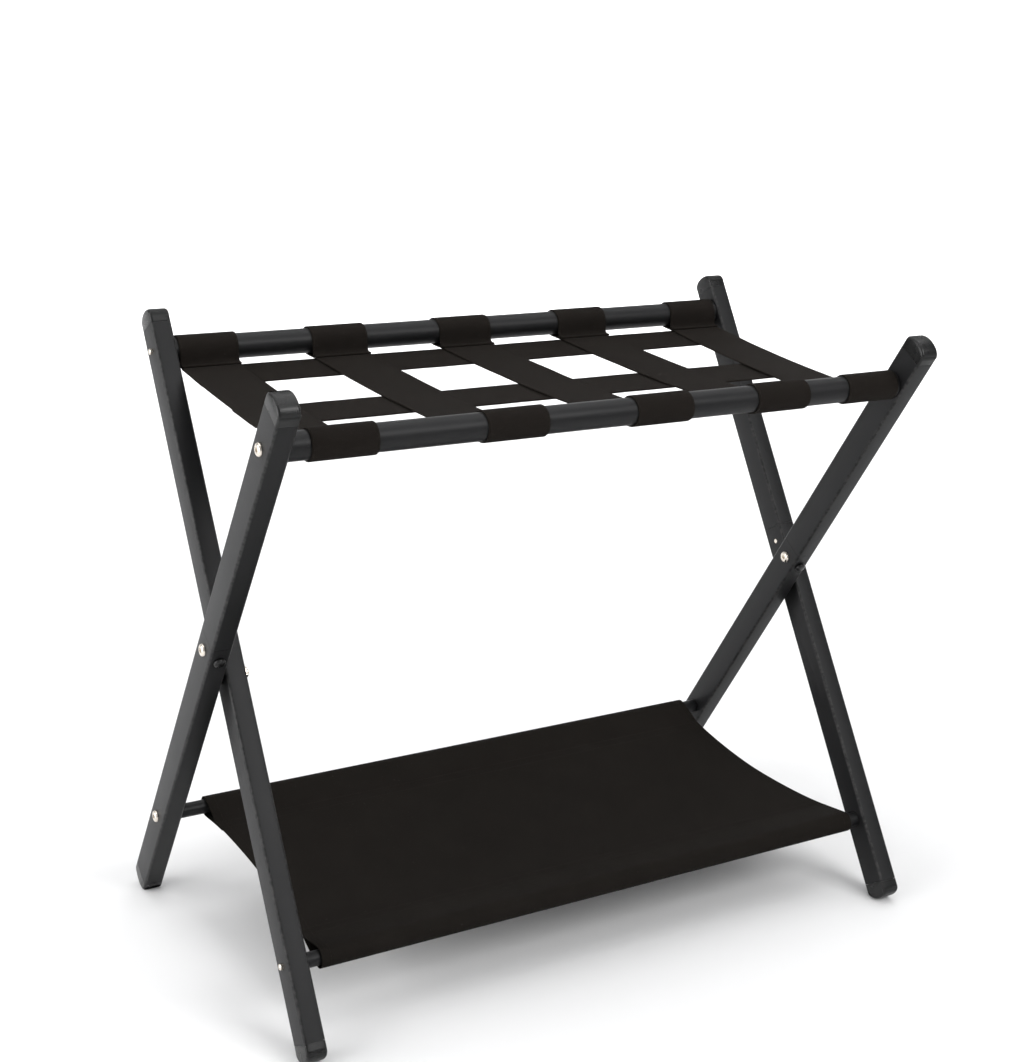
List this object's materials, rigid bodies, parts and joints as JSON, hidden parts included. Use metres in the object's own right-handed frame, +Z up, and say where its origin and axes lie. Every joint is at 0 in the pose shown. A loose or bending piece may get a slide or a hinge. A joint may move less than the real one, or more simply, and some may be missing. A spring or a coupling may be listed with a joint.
{
  "type": "folding luggage rack",
  "caption": "Folding luggage rack with crossed steel leg frames on two pivots, a webbing strap deck between the top rails and a canvas shelf between the bottom rods.",
  "frame": {"origin": "on the floor, at the middle of the open rack's footprint", "axes": "+X along the rails to the right, -Y the front, +Z up"},
  "size_m": [0.7102, 0.4112, 0.6096],
  "materials": {
    "black_paint": "satin",
    "nickel": "polished",
    "zinc_steel": "matte",
    "black_plastic": "satin",
    "webbing": "matte",
    "canvas": "matte"
  },
  "bodies": {
    "back_frame": {"back_frame_right_upper_leg": "black_paint", "back_frame_right_lower_leg": "black_paint", "back_frame_right_leg_sleeve": "zinc_steel", "back_frame_right_joint_bolt": "nickel", "back_frame_right_top_cap": "black_plastic", "back_frame_right_foot_cap": "black_plastic", "back_frame_left_upper_leg": "black_paint", "back_frame_left_lower_leg": "black_paint", "back_frame_left_leg_sleeve": "zinc_steel", "back_frame_left_joint_bolt": "nickel", "back_frame_left_top_cap": "black_plastic", "back_frame_left_foot_cap": "black_plastic", "back_top_rail": "black_paint", "back_top_rail_left_insert": "zinc_steel", "back_top_rail_right_insert": "zinc_steel", "back_top_rail_left_bolt": "nickel", "back_top_rail_right_bolt": "nickel", "front_bottom_rod": "black_paint", "front_bottom_rod_left_insert": "zinc_steel", "front_bottom_rod_right_insert": "zinc_steel", "front_bottom_rod_left_bolt": "nickel", "front_bottom_rod_right_bolt": "nickel", "cross_strap_1": "webbing", "cross_strap_2": "webbing", "cross_strap_3": "webbing", "cross_strap_4": "webbing", "cross_strap_5": "webbing", "front_long_strap": "webbing", "back_long_strap": "webbing", "canvas_shelf": "canvas"},
    "front_frame": {"front_frame_left_upper_leg": "black_paint", "front_frame_left_lower_leg": "black_paint", "front_frame_left_leg_sleeve": "zinc_steel", "front_frame_left_joint_bolt": "nickel", "front_frame_left_joint_button": "black_plastic", "front_frame_left_top_cap": "black_plastic", "front_frame_left_foot_cap": "black_plastic", "front_frame_right_upper_leg": "black_paint", "front_frame_right_lower_leg": "black_paint", "front_frame_right_leg_sleeve": "zinc_steel", "front_frame_right_joint_bolt": "nickel", "front_frame_right_joint_button": "black_plastic", "front_frame_right_top_cap": "black_plastic", "front_frame_right_foot_cap": "black_plastic", "front_top_rail": "black_paint", "front_top_rail_left_insert": "zinc_steel", "front_top_rail_right_insert": "zinc_steel", "front_top_rail_left_bolt": "nickel", "front_top_rail_right_bolt": "nickel", "back_bottom_rod": "black_paint", "back_bottom_rod_left_insert": "zinc_steel", "back_bottom_rod_right_insert": "zinc_steel", "back_bottom_rod_left_bolt": "nickel", "back_bottom_rod_right_bolt": "nickel", "left_pivot_stud": "nickel", "left_pivot_spacer": "black_plastic", "left_pivot_nut": "nickel", "right_pivot_stud": "nickel", "right_pivot_spacer": "black_plastic", "right_pivot_nut": "nickel"}
  },
  "joints": [
    {"name": "fold", "type": "hinge", "parent": "back_frame", "child": "front_frame", "pos_m": [0, 0, 0.3005], "axis": [-1, 0, 0], "range_deg": [0, 59], "deforming": ["cross_strap_1", "cross_strap_2", "cross_strap_3", "cross_strap_4", "cross_strap_5", "front_long_strap", "back_long_strap", "canvas_shelf"]}
  ]
}
